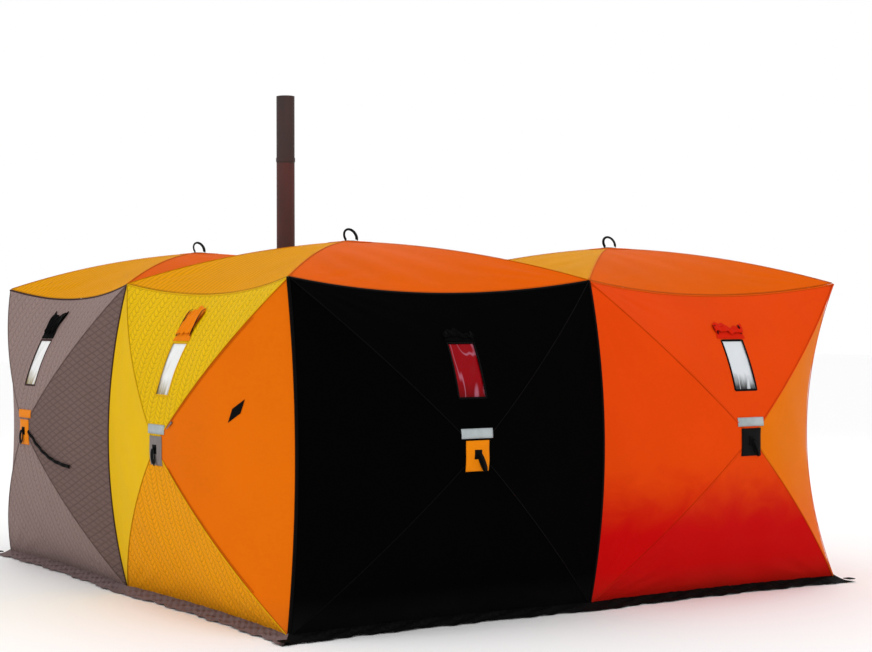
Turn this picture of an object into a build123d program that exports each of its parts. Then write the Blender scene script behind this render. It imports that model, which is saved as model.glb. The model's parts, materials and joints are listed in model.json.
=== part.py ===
"""Pop-up ice fishing shelter: three square hub modules in an L plan, with window covers, a zipped
door, a snow skirt and a stove pipe.  Millimetres, +Z up, the inner corner of the L on the Z axis,
the front facade facing -Y and the left facade facing -X."""
from build123d import *
import math
import os

os.makedirs("parts", exist_ok=True)

# ---- driving dimensions ----
MODULE = 2000.0          # side of one square module
EAVE = 1900.0            # height of the eave corners
BASE = 22.0              # height of the fabric's bottom edge
CLOTH = 8.0              # thickness of the quilted wall cloth
HUB_Z = 970.0            # height of the wall hubs
BULGE = 290.0            # how far a wall hub stands out from its corners' plane
ROOF_RISE = 240.0        # roof hub above the eave corners
WALL_BOW = 55.0          # outward bow of a wall ridge at mid length
ROOF_BOW = 45.0
PINCH = 120.0            # corner seam pulled in at mid height
SEAM_BOW = 127.0         # straight seam between two walls in line, pushed out
INNER_BOW = 90.0         # same at the inner corner of the L
SAG_DOWN, SAG_IN = 80.0, 60.0   # eave at mid span
FOOT_IN = 45.0           # bottom edge at mid span
PATCH_W, PATCH_H = 206.0, 226.0  # outer patch at a hub
WIN_W, WIN_LOW, WIN_HIGH = 176.0, 1250.0, 1545.0
ROD_R = 5.5
SOCKET_R, SOCKET_BORE = 13.0, 6.3
PIPE_R, PIPE_X, PIPE_Y = 57.5, -1020.0, -255.0
PIPE_LOW, PIPE_JOIN, PIPE_TOP = 1250.0, 2665.0, 3090.0
SKIRT_W, SKIRT_T = 100.0, 20.0
HINGE_IN = 190.0         # door hinge line from the corner
DOOR_GAP = 14.1          # running gap along the slanting edges of the door leaf
LEAF_IN = 38.0           # leaf's edge back from the hinge line, so that it clears the border as it turns
H = MODULE / 2


def tri_solid(tris, thick, drop=0.0, place=None):
    """Closed sheet of the given thickness under a fan of triangles (a, b, d)."""
    def at(p, low=False):
        a, b, d = p
        return place(a, b, d - drop - (thick if low else 0.0))
    faces, rim = [], {}
    for tri in tris:
        faces.append(Face(Wire.make_polygon([at(p) for p in tri], close=True)))
        faces.append(Face(Wire.make_polygon([at(p, True) for p in reversed(tri)], close=True)))
        for i in range(3):
            p, q = tri[i], tri[(i + 1) % 3]
            key = frozenset((p, q))
            rim[key] = None if key in rim else (p, q)
    for pair in rim.values():
        if pair:
            p, q = pair
            faces.append(Face(Wire.make_polygon([at(q), at(p), at(p, True), at(q, True)], close=True)))
    return Solid(Shell(faces))


class Side:
    """One hub panel: four sewn triangles between a hub and its four corners."""

    def __init__(self, origin, across, up, out, corners, mids, hub, bow):
        self.o, self.x, self.y, self.n = Vector(*origin), Vector(*across), Vector(*up), Vector(*out)
        self.corners, self.mids, self.hub = corners, mids, hub
        self.ridge = []
        for c in corners:
            self.ridge.append(tuple((c[i] + hub[i]) / 2 + (bow if i == 2 else 0.0) for i in range(3)))

    def at(self, a, b, d):
        return self.o + self.x * a + self.y * b + self.n * d

    def facets(self, i):
        """Triangle i lies between corners i and i+1."""
        j = (i + 1) % 4
        a, b, e, m, k = self.corners[i], self.corners[j], self.mids[i], self.ridge[i], self.ridge[j]
        return [(self.hub, m, k), (m, e, k), (m, a, e), (k, e, b)]

    def block(self, a0, b0, a1, b1, d0=-400.0, d1=600.0):
        """Box in panel axes."""
        size = (a1 - a0, b1 - b0, d1 - d0)
        plane = Plane(origin=self.at((a0 + a1) / 2, (b0 + b1) / 2, (d0 + d1) / 2), x_dir=self.x, z_dir=self.n)
        return plane * Box(*size)

    def panel(self, i):
        cut = self.block(H - PATCH_W / 2 - 2, self.hub[1] - PATCH_H / 2 - 2,
                         H + PATCH_W / 2 + 2, self.hub[1] + PATCH_H / 2 + 2)
        return tri_solid(self.facets(i), CLOTH, 0.0, self.at) - cut


def wall(origin, across, out, left, right):
    """left/right: how each vertical seam is held: 'pinch', 'line' or 'inner'."""
    lap = 9.0 if abs(out[0]) > 0.5 else 0.0
    top, eave_mid = EAVE - CLOTH - 1, EAVE - SAG_DOWN - CLOTH - 1

    def seam(kind, sign):
        base = 0.0 if sign > 0 else MODULE
        if kind == "pinch":
            return base + sign * lap, base + sign * (PINCH + lap), -PINCH
        if kind == "line":
            return base + sign * 0.5, base + sign * 0.5, SEAM_BOW
        return base + sign * 1.0, base + sign * (INNER_BOW + 1.0), INNER_BOW
    l_end, l_mid, l_d = seam(left, 1)
    r_end, r_mid, r_d = seam(right, -1)
    corners = [(l_end, BASE, 0.0), (r_end, BASE, 0.0), (r_end, top, 0.0), (l_end, top, 0.0)]
    mids = [(H, BASE, -FOOT_IN), (r_mid, 950.0, r_d), (H, eave_mid, -SAG_IN), (l_mid, 950.0, l_d)]
    return Side(origin, across, (0, 0, 1), out, corners, mids, (H, HUB_Z, BULGE), WALL_BOW)


def roof(x0, y0, valleys):
    """valleys: which of the edges (front, right, back, left) meet another module."""
    inset = [0.0 if v else SAG_IN for v in valleys]
    g = 0.5
    corners = [(g, g, 0.0), (MODULE - g, g, 0.0), (MODULE - g, MODULE - g, 0.0), (g, MODULE - g, 0.0)]
    mids = [(H, g + inset[0], -SAG_DOWN), (MODULE - g - inset[1], H, -SAG_DOWN),
            (H, MODULE - g - inset[2], -SAG_DOWN), (g + inset[3], H, -SAG_DOWN)]
    return Side((x0, y0, EAVE), (1, 0, 0), (0, 1, 0), (0, 0, 1), corners, mids, (H, H, ROOF_RISE), ROOF_BOW)


W = MODULE
WALLS = {
    "black": wall((-W, -W, 0), (1, 0, 0), (0, -1, 0), "pinch", "line"),
    "orange": wall((0, -W, 0), (1, 0, 0), (0, -1, 0), "line", "pinch"),
    "right_end": wall((W, -W, 0), (0, 1, 0), (1, 0, 0), "pinch", "pinch"),
    "right_back": wall((W, 0, 0), (-1, 0, 0), (0, 1, 0), "pinch", "inner"),
    "left_inner": wall((0, 0, 0), (0, 1, 0), (1, 0, 0), "inner", "pinch"),
    "left_end": wall((0, W, 0), (-1, 0, 0), (0, 1, 0), "pinch", "pinch"),
    "grey": wall((-W, W, 0), (0, -1, 0), (-1, 0, 0), "pinch", "line"),
    "yellow": wall((-W, 0, 0), (0, -1, 0), (-1, 0, 0), "line", "pinch"),
}
ROOFS = {
    "mid": roof(-W, -W, (False, True, True, False)),
    "right": roof(0, -W, (False, False, False, True)),
    "left": roof(-W, 0, (True, False, False, False)),
}
nodes = {}


def add(name, *shapes):
    solids = []
    for s in shapes:
        solids.extend(s.solids())
    nodes[name] = solids[0] if len(solids) == 1 else Compound(children=solids)


def rod(a, b, r):
    """Round bar between two points."""
    return extrude(Plane(origin=a, z_dir=(b - a).normalized()) * Circle(r), (b - a).length)


def bowed(a, mid, b, r):
    path = Edge.make_three_point_arc(a, mid, b)
    start = Plane(origin=a, z_dir=path % 0)
    return sweep(start * Circle(r), path=path)


# ---- hubs, rods, patches ----
def corner_ball(p):
    """Joint at a corner of the frame, held inside the cloth."""
    x = -W + 50 if p[0] < -W / 2 else (W - 50 if p[0] > W / 2 else 0.0)
    y = -W + 50 if p[1] < -W / 2 else (W - 50 if p[1] > W / 2 else 0.0)
    if x == 0.0 and y == 0.0:
        x = y = -45.0
    elif x == 0.0 and y > 0:
        x = -50.0
    elif y == 0.0 and x > 0:
        y = -50.0
    return Vector(x, y, EAVE - 55 if p[2] > 500 else 52.0)


sockets_at = {}


def frame_of(side, depth_in, mid_in):
    """Hub body and its four rods, the rods' middles mid_in under the ridges."""
    c = side.at(side.hub[0], side.hub[1], side.hub[2] - depth_in)
    body = extrude(Plane(origin=c - side.n * 22, z_dir=side.n) * Circle(46), 44)
    body += extrude(Plane(origin=c + side.n * 22, z_dir=side.n) * Circle(9), 17)
    rods, pins = [], []
    for i, corner in enumerate(side.corners):
        where = side.at(*corner)
        ball = corner_ball((where.X, where.Y, where.Z))
        mid = side.at(*side.ridge[i]) - side.n * mid_in
        start_dir = (mid - c).normalized()
        a = c + start_dir * 52
        end_dir = (mid - ball).normalized()
        b = ball + end_dir * 34
        arc = Edge.make_three_point_arc(a, mid, b)
        t0, t1 = arc % 0, arc % 1
        rods.append(sweep(Plane(origin=a, z_dir=t0) * Circle(ROD_R), path=arc))
        tube = rod(a - t0 * 22, a + t0 * 34, SOCKET_R)
        bore = rod(a - t0 * 3, a + t0 * 60, SOCKET_BORE + 0.35)
        body += tube
        body -= bore
        side_way = t0.cross(side.n).normalized()
        pins.append(rod(a - t0 * 12 - side_way * 17, a - t0 * 12 + side_way * 17, 2.5))
        key = (round(ball.X), round(ball.Y), round(ball.Z))
        sockets_at.setdefault(key, (ball, []))[1].append((b, t1))
    for pin in pins:
        body += pin
    return body, rods


def pull_loop(side, depth, upright):
    """Outer patch, reflective strip and webbing loop on a hub."""
    a0, b0 = side.hub[0], side.hub[1]
    base = side.block(a0 - PATCH_W / 2, b0 - PATCH_H / 2, a0 + PATCH_W / 2, b0 + PATCH_H / 2, depth - 2, depth + 2)
    if not upright:
        base += side.block(a0 - 75, b0 - 105, a0 + 75, b0 + 45, depth + 2, depth + 4)
        base += side.block(a0 - 103, b0 + 60, a0 + 103, b0 + 110, depth + 2, depth + 4)
    base += side.block(a0 - 24, b0 - 24, a0 + 24, b0 + 24, depth + 2, depth + 8)
    top = depth + 8
    if upright:
        ring = side.block(a0 - 12.5, b0 - 45, a0 + 12.5, b0 + 45, top, top + 90)
        ring -= side.block(a0 - 20, b0 - 42, a0 + 20, b0 + 42, top + 3, top + 87)
    else:
        ring = side.block(a0 - 12.5, b0 - 108, a0 + 12.5, b0 + 12, top, top + 32)
        ring -= side.block(a0 - 20, b0 - 105, a0 + 20, b0 + 9, top + 3, top + 29)
    base += ring
    hole = extrude(Plane(origin=side.at(a0, b0, depth - 20), z_dir=side.n) * Circle(9.6), 24)
    return base - hole


roof_rods = []
for tag, side in {**WALLS, **ROOFS}.items():
    is_roof = tag in ROOFS
    plate_at = side.hub[2] - (16 if is_roof else 20)
    body, rods = frame_of(side, 68, 40)
    add("hub_" + (("roof_" + tag) if is_roof else tag), body)
    add("pull_" + (("roof_" + tag) if is_roof else tag), pull_loop(side, plate_at, is_roof))
    if is_roof:
        roof_rods.extend(rods)
    else:
        add("rods_" + tag, *rods)
add("rods_roof", *roof_rods)

# ---- corner joints and feet ----
upper, lower = [], []
for ball, ends in sockets_at.values():
    knot = Pos(*ball) * Sphere(25)
    if ball.Z < 500:
        knot += Pos(ball.X, ball.Y, 5) * Cylinder(34, 10)
        knot += Pos(ball.X, ball.Y, 20) * Cylinder(11, 30)
    for end, way in ends:
        inward = way if (end + way - ball).length > (end - ball).length else way * -1
        tip = end - inward * 3
        knot += rod(tip - inward * 12, tip + inward * 30, 11)
        knot -= rod(tip, tip + inward * 60, SOCKET_BORE + 0.35)
    (lower if ball.Z < 500 else upper).append(knot)
add("corner_joints", *upper)
add("corner_feet", *lower)

# ---- walls with windows and covers ----
panes = []
for tag, side in WALLS.items():
    panels = [side.panel(i) for i in range(4)]
    lo, hi = H - WIN_W / 2, H + WIN_W / 2
    film = tri_solid(side.facets(2), 1.5, 3.0, side.at)
    panes.append(film & side.block(lo + 0.4, WIN_LOW + 0.4, hi - 0.4, WIN_HIGH - 0.4))
    panels[2] = panels[2] - side.block(lo, WIN_LOW, hi, WIN_HIGH)
    if tag == "yellow":
        leaf_i = 1
        line = W - HINGE_IN
        whole = panels[leaf_i]
        fixed = whole & side.block(line, 0, W + 50, EAVE)
        # leaf outline: inside the two ridges, off the hinge line and clear of the hub patch
        outline = [(side.hub[0] + 2 * DOOR_GAP, side.hub[1])]
        for k, sgn in ((1, 1), (2, -1)):
            r, c = side.ridge[k], side.corners[k]
            slope = (c[1] - r[1]) / (c[0] - r[0])
            end = (line - LEAF_IN, r[1] + slope * (line - LEAF_IN - r[0]) + sgn * DOOR_GAP)
            pts = [(r[0], r[1] + sgn * DOOR_GAP), end]
            outline = outline + pts if k == 1 else outline + pts[::-1]
        shape = Plane(origin=side.at(0, 0, -300), x_dir=side.x, z_dir=side.n) * make_face(
            Polyline(*outline, close=True))
        prism = extrude(shape, 900)
        add("door_leaf", (whole & prism) & side.block(H + PATCH_W / 2 + 45, 0, W, EAVE))
        band = []
        for k, sgn in ((1, 1), (2, -1)):
            r, c = side.ridge[k], side.corners[k]
            slope = (c[1] - r[1]) / (c[0] - r[0])
            far = line - 40
            y = r[1] + slope * (far - r[0])
            s0 = (r[1] - HUB_Z) / (r[0] - H)
            a = (H + 130, HUB_Z + s0 * 130)
            quad = [(a[0], a[1] + sgn * 20), (r[0], r[1] + sgn * 20), (far, y + sgn * 20),
                    (far, y + sgn * 46), (r[0], r[1] + sgn * 46), (a[0], a[1] + sgn * 46)]
            sheet = Plane(origin=side.at(0, 0, -300), x_dir=side.x, z_dir=side.n) * make_face(
                Polyline(*quad, close=True))
            band.append(tri_solid(side.facets(leaf_i), 1.6, CLOTH + 0.6, side.at) & extrude(sheet, 900))
        add("door_zip_tape", *band)
        panels[leaf_i] = fixed
        # zipper slider just above the leaf near the hub, on the facet next to the hub
        hub_, m_, k_ = side.hub, side.ridge[1], side.ridge[2]
        p0 = (H + 190.0, HUB_Z + (k_[1] - HUB_Z) * 190.0 / (k_[0] - H) - 34)
        fall = (k_[2] - hub_[2]) / (k_[0] - hub_[0])
        d0 = hub_[2] + fall * (p0[0] - H) + 9
        run = side.at(k_[0], k_[1], k_[2]) - side.at(*hub_)
        along = run.normalized()
        spot = side.at(p0[0], p0[1], d0)
        u_dir = along
        v_dir = (side.at(k_[0], k_[1], k_[2]) - side.at(m_[0], m_[1], m_[2])).normalized()
        nrm = u_dir.cross(v_dir).normalized()
        nrm = nrm if nrm.dot(side.n) > 0 else nrm * -1
        pl = Plane(origin=spot, x_dir=u_dir, z_dir=nrm)
        slider = pl * Box(30, 14, 7) + pl * Pos(-30, 0, 1.5) * Box(40, 9, 2)
        slider -= pl * Pos(-43, 0, 1.5) * Cylinder(2.4, 8)
        add("zip_slider", slider)
    add("wall_" + tag, *panels)
    # rolled cover above the window, lying on the upper facet
    m, e = side.ridge[2], side.mids[2]
    lean = math.atan2(m[2] - e[2], e[1] - m[1])
    d_at = e[2] + (e[1] - (WIN_HIGH + 8)) * math.tan(lean)
    root = side.at(H, WIN_HIGH + 8, d_at)
    uphill = (side.y * math.cos(lean) - side.n * math.sin(lean)).normalized()
    away = (side.n * math.cos(lean) + side.y * math.sin(lean)).normalized()
    pl = Plane(origin=root, x_dir=side.x, z_dir=away)
    flip = 1 if pl.y_dir.dot(uphill) > 0 else -1
    flap = pl * Pos(0, flip * 80, 11) * Box(216, 150, 16)
    flap += pl * Pos(0, flip * 4, 11) * Box(216, 8, 4)
    add("cover_" + tag, flap)
add("window_panes", *panes)

# ---- roofs, stove jack, pipe ----
for tag, side in ROOFS.items():
    panels = [side.panel(i) for i in range(4)]
    if tag == "mid":
        hole = Pos(PIPE_X, PIPE_Y, 2000) * Cylinder(85, 600)
        panels = [p - hole for p in panels]
        big = tri_solid([(side.ridge[2], side.mids[2], side.ridge[3])], 3.0, -3.6, side.at)
        a, b = PIPE_X + W, PIPE_Y + W
        jack = big & side.block(a - 112, b - 112, a + 112, b + 112)
        add("stove_jack", jack - Pos(PIPE_X, PIPE_Y, 2000) * Cylinder(PIPE_R + 2.2, 600))
    add("roof_" + tag, *panels)
tube = Pos(PIPE_X, PIPE_Y, (PIPE_LOW + PIPE_JOIN) / 2) * Cylinder(PIPE_R, PIPE_JOIN - PIPE_LOW)
tube -= Pos(PIPE_X, PIPE_Y, (PIPE_LOW + PIPE_JOIN) / 2) * Cylinder(PIPE_R - 1.5, PIPE_JOIN - PIPE_LOW + 10)
add("pipe_lower", tube)
tube = Pos(PIPE_X, PIPE_Y, (PIPE_JOIN + PIPE_TOP) / 2) * Cylinder(PIPE_R, PIPE_TOP - PIPE_JOIN - 1)
tube += Pos(PIPE_X, PIPE_Y, PIPE_JOIN + 22) * Cylinder(PIPE_R + 3, 24)
tube += Pos(PIPE_X, PIPE_Y, PIPE_JOIN - 20) * Cylinder(PIPE_R - 2.5, 60)
tube -= Pos(PIPE_X, PIPE_Y, (PIPE_JOIN + PIPE_TOP) / 2) * Cylinder(PIPE_R - 4.0, PIPE_TOP - PIPE_JOIN + 200)
add("pipe_upper", tube)

# ---- snow skirt: a flat band round the foot of the walls ----
bands = []
SKIRT_IN = 40.0
# outward growth at a wall's end: out round a corner, none between walls in line, back at the inner corner
GROW = {-PINCH: 1, SEAM_BOW: 0, INNER_BOW: -1}
for tag, side in WALLS.items():
    grow_l, grow_r = GROW[side.mids[3][2]], GROW[side.mids[1][2]]
    ci_l, ci_r = (grow_l * SKIRT_IN, -SKIRT_IN), (W - grow_r * SKIRT_IN, -SKIRT_IN)
    co_l, co_r = (-grow_l * SKIRT_W, SKIRT_W), (W + grow_r * SKIRT_W, SKIRT_W)
    mid_i, mid_o = (H, -FOOT_IN - SKIRT_IN), (H, SKIRT_W / 2)
    for quad in ([ci_l, mid_i, mid_o, co_l], [mid_i, ci_r, co_r, mid_o]):
        pts = [side.at(a, 0, d) for a, d in quad]
        face = Face(Wire.make_polygon(pts, close=True))
        bands.append(extrude(face, SKIRT_T, dir=(0, 0, 1)))
ring = bands[0]
for b in bands[1:]:
    ring += b
PEG = 68.0               # anchor holes from the corners
far, near = W + PEG, PEG
for x, y in ((-far, -far), (far, -far), (-far, far), (far, near), (near, far)):
    ring -= Pos(x, y, 10) * Cylinder(8, 60)
for ball, _ in sockets_at.values():
    if ball.Z < 500:
        ring -= Pos(ball.X, ball.Y, 10) * Cylinder(36, 60)
add("snow_skirt", ring)

for name, shape in nodes.items():
    export_step(shape, "parts/" + name + ".step")
print(len(nodes), "nodes")
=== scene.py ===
import json
import math
import bpy
import bmesh
import numpy as np
from mathutils import Matrix, Vector
from mathutils.bvhtree import BVHTree


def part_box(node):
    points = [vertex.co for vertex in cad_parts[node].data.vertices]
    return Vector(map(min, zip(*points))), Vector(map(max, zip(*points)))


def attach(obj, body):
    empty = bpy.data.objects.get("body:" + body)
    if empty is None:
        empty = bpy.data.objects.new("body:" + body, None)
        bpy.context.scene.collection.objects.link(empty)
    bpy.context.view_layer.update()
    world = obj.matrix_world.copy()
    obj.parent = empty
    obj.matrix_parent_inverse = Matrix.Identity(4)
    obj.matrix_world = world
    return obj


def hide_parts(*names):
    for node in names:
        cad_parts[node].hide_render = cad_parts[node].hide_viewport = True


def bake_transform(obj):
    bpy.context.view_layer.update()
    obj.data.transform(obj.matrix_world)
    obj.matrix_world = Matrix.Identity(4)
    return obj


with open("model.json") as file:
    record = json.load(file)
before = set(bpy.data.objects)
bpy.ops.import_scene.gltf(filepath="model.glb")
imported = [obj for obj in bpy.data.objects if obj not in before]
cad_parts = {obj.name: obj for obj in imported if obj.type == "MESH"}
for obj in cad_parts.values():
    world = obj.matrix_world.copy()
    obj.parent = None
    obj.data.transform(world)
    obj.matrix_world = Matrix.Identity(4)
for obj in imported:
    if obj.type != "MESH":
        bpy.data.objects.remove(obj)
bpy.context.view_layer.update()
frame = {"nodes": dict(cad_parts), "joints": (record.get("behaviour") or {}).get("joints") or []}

# ---------------------------------------------------------------- sizes in metres, from the frame
W = round(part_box("roof_mid")[1][0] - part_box("roof_mid")[0][0], 2)  # side of a module
H = W / 2
EAVE, BASE, HUB_Z = 1.90, 0.022, 0.970  # heights of the eave, the cloth's foot and the wall hubs
BULGE, ROOF_RISE = 0.29, 0.24  # how far a wall's and a roof's hub stands out
BOW, ROOF_BOW = 0.055, 0.045  # how far a seam bows out between hub and corner
PINCH, SEAM_BOW, INNER_BOW = 0.12, 0.127, 0.09  # how far the three kinds of upright seam bow
WIN_W, WIN_LOW, WIN_HIGH = 0.176, 1.25, 1.545  # width, foot and head of a window opening
WIN_L, WIN_R = H - WIN_W / 2, H + WIN_W / 2
HINGE = W - 0.19  # the door's hinge line, from the wall's left end
MID_Z = 0.95  # middle of the upright seams and of the hinge line
# share of the way to the hub at which hub_blend works out a start point, which nothing uses: past the window
# covers on the walls, past the stove jack on the middle roof, and only as far as the hinge line on the wall
# with the door
FLAT_WALL, FLAT_DOOR_WALL, FLAT_JACK_ROOF, FLAT_ROOF = 0.30, 0.13, 0.38, 0.15
PIPE_LOW, PIPE_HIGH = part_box("pipe_lower")
PIPE = [(a + b) / 2 for a, b in zip(PIPE_LOW, PIPE_HIGH)]
PIPE_R = (PIPE_HIGH[0] - PIPE_LOW[0]) / 2
JACK_R = 0.083  # hole in the stove jack
ZIP_RUN = Vector(next(j for j in frame["joints"] if j["name"] == "zip_run")["axis"])


# ---------------------------------------------------------------- shader helpers
def new_material(name):
    m = bpy.data.materials.new(name)
    m.use_nodes = True
    nt = m.node_tree
    return m, nt, nt.nodes["Principled BSDF"]


def node(nt, kind, **sets):
    n = nt.nodes.new(kind)
    for k, v in sets.items():
        if k in n.inputs:
            n.inputs[k].default_value = v
        else:
            setattr(n, k, v)
    return n


def math_node(nt, op, a, b=None):
    n = nt.nodes.new("ShaderNodeMath")
    n.operation = op
    for i, v in enumerate((a, b)):
        if v is None:
            continue
        if isinstance(v, (int, float)):
            n.inputs[i].default_value = v
        else:
            nt.links.new(v, n.inputs[i])
    return n.outputs[0]


def add(nt, a, b):
    return math_node(nt, "ADD", a, b)


def sub(nt, a, b):
    return math_node(nt, "SUBTRACT", a, b)


def mul(nt, a, b):
    return math_node(nt, "MULTIPLY", a, b)


def mix(nt, fac, a, b):
    n = nt.nodes.new("ShaderNodeMix")
    n.data_type = "RGBA"
    for sock, v in ((n.inputs[0], fac), (n.inputs[6], a), (n.inputs[7], b)):
        if isinstance(v, (int, float)):
            sock.default_value = v
        elif isinstance(v, tuple):
            sock.default_value = (*v, 1)
        else:
            nt.links.new(v, sock)
    return n.outputs[2]


def scaled(colour, k, plus=0.0):
    return tuple(min(1, c * k + plus) for c in colour)


def ripple(nt, value, size):
    """Sine of the value that comes round once in the given size."""
    return math_node(nt, "SINE", mul(nt, value, 2 * math.pi / size))


def ridges(nt, value, size):
    return math_node(nt, "ABSOLUTE", ripple(nt, value, size))


def noise(nt, vector, scale, detail, rough=0.5, twist=0.0):
    n = node(nt, "ShaderNodeTexNoise", Scale=scale, Detail=detail, Roughness=rough, Distortion=twist)
    nt.links.new(vector, n.inputs["Vector"])
    return n.outputs[0]


def ramp(nt, value, lo, hi, at_lo=0.0, at_hi=1.0, kind="SMOOTHSTEP"):
    n = node(nt, "ShaderNodeMapRange", interpolation_type=kind)
    nt.links.new(value, n.inputs[0])
    for k, level in enumerate((lo, hi, at_lo, at_hi)):
        n.inputs[k + 1].default_value = level
    return n.outputs[0]


def surface(nt, bsdf, colour, rough, height, strength, depth, gloss=None):
    """Joins colour, roughness and bump to the shader."""
    nt.links.new(colour, bsdf.inputs["Base Color"])
    nt.links.new(rough, bsdf.inputs["Roughness"])
    if gloss is not None:
        bsdf.inputs["Specular IOR Level"].default_value = gloss
    n = node(nt, "ShaderNodeBump", Strength=strength, Distance=depth)
    nt.links.new(height, n.inputs["Height"])
    nt.links.new(n.outputs[0], bsdf.inputs["Normal"])


def cloth_axes(nt):
    """The cloth's own axes in metres: as one vector, and its two parts."""
    uv = node(nt, "ShaderNodeUVMap", uv_map="cloth")
    sep = node(nt, "ShaderNodeSeparateXYZ")
    nt.links.new(uv.outputs[0], sep.inputs[0])
    return uv.outputs[0], sep.outputs[0], sep.outputs[1]


# ---------------------------------------------------------------- materials
def quilting(nt, kind, u, v, pitch):
    """Quilt: 0 on a stitched line and up to 1 between the lines, and the way the stitches run."""
    if kind == "diamond":
        wide = mul(nt, u, 0.45)
        p = add(nt, wide, v)
        q = sub(nt, wide, v)
        return math_node(nt, "MINIMUM", ridges(nt, p, 2 * pitch), ridges(nt, q, 2 * pitch)), q
    if kind == "chevron":
        # vertical channels crossed by short slanting stitches
        z = mul(nt, ridges(nt, u, 4 * pitch), pitch * 0.6)
        channel = ridges(nt, u, 2 * pitch)
        return math_node(nt, "MINIMUM", channel, ridges(nt, add(nt, v, z), 0.9 * pitch)), v
    return ridges(nt, u, 2 * pitch), v


def cloth(name, colour, low=None, quilt=None, pitch=0.045, rough=0.66, gloss=0.05, crease=0.5):
    """Woven cloth: weave, stitched channels or diamonds with painted shade in their grooves, creases, seam
    stitches, dirt at the foot and, where a low colour is given, painted shade that turns it darker and redder
    towards the foot.
    """
    m, nt, bsdf = new_material(name)
    uv, u, v = cloth_axes(nt)
    weave = mul(nt, ripple(nt, u, 0.0045), ripple(nt, v, 0.0045))
    broad = noise(nt, uv, 1.7, 5.0, 0.6)
    fine = noise(nt, uv, 46.0, 6.0, 0.65)
    fold = noise(nt, uv, 4.5, 3.0, 0.5, 1.4)
    col = mix(nt, broad, colour, scaled(colour, 0.80))
    col = mix(nt, mul(nt, fine, 0.22), col, scaled(colour, 1.25))
    # painted shade: with a low colour the cloth fades to it towards the foot, where the wall turns down away
    # from the light
    if low:
        ragged = mul(nt, sub(nt, fold, 0.5), 0.25)
        col = mix(nt, ramp(nt, add(nt, v, ragged), 0.40, 0.86, 1.0, 0.0), col, low)
    height = mul(nt, weave, 0.12)
    height = add(nt, height, mul(nt, fine, 0.25))
    height = add(nt, height, mul(nt, fold, 2.6 * crease))
    if quilt:
        puff, run = quilting(nt, quilt, u, v, pitch)
        soft = math_node(nt, "POWER", puff, 0.45)
        height = add(nt, height, mul(nt, soft, 2.4))
        groove = math_node(nt, "LESS_THAN", puff, 0.14)
        dash = math_node(nt, "GREATER_THAN", ripple(nt, run, 0.009), -0.35)
        col = mix(nt, mul(nt, mul(nt, groove, dash), 0.7), col, scaled(colour, 0.42))
        # painted shade: darker away from the puffed middles, down in the quilted grooves
        col = mix(nt, mul(nt, sub(nt, 1.0, soft), 0.5), col, scaled(colour, 0.55))
    edge = node(nt, "ShaderNodeAttribute", attribute_name="edge")
    near = math_node(nt, "LESS_THAN", edge.outputs["Fac"], 0.011)
    stitch = math_node(nt, "GREATER_THAN", mul(nt, ripple(nt, u, 0.012), ripple(nt, v, 0.012)), -0.5)
    col = mix(nt, mul(nt, mul(nt, near, stitch), 0.5), col, scaled(colour, 0.35))
    foot = ramp(nt, v, 0.02, 0.22, 1.0, 0.0, "LINEAR")
    col = mix(nt, mul(nt, mul(nt, foot, broad), 0.55), col, scaled(colour, 0.35, 0.015))
    surface(nt, bsdf, col, add(nt, mul(nt, fine, 0.16), rough - 0.08), height, 0.7, 0.0026, gloss)
    return m


def plain(name, colour, rough, grain, metal=0.0, depth=0.0006, stretch=(1, 1, 1), second=None, coat=0.0):
    """Moulded, coated or metal surface with grain, wear and uneven gloss, in object coordinates."""
    m, nt, bsdf = new_material(name)
    where = node(nt, "ShaderNodeTexCoord")
    mapping = node(nt, "ShaderNodeMapping", Scale=stretch)
    nt.links.new(where.outputs["Object"], mapping.inputs[0])
    fine = noise(nt, mapping.outputs[0], grain, 6.0, 0.6)
    broad = noise(nt, mapping.outputs[0], 6.0, 8.0, 0.7)
    worn = node(nt, "ShaderNodeValToRGB")
    worn.color_ramp.elements[0].position, worn.color_ramp.elements[1].position = 0.38, 0.62
    nt.links.new(broad, worn.inputs[0])
    col = mix(nt, worn.outputs[0], colour, second or scaled(colour, 0.7))
    col = mix(nt, mul(nt, fine, 0.3), col, scaled(colour, 1.4, 0.01))
    bsdf.inputs["Metallic"].default_value = metal
    bsdf.inputs["Coat Weight"].default_value = coat
    surface(nt, bsdf, col, add(nt, mul(nt, fine, 0.3), rough - 0.15), fine, 0.6, depth)
    return m


def webbing(name, colour):
    """Narrow webbing or binding with a slanting weave."""
    m, nt, bsdf = new_material(name)
    uv, u, v = cloth_axes(nt)
    p = add(nt, u, v)
    q = sub(nt, u, v)
    weave = mul(nt, ripple(nt, p, 0.004), ripple(nt, q, 0.004))
    fuzz = noise(nt, uv, 70.0, 4.0)
    col = mix(nt, mul(nt, fuzz, 0.5), colour, scaled(colour, 1.9))
    surface(nt, bsdf, col, add(nt, mul(nt, fuzz, 0.2), 0.5), add(nt, weave, fuzz), 0.7, 0.0009, 0.05)
    return m


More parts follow.
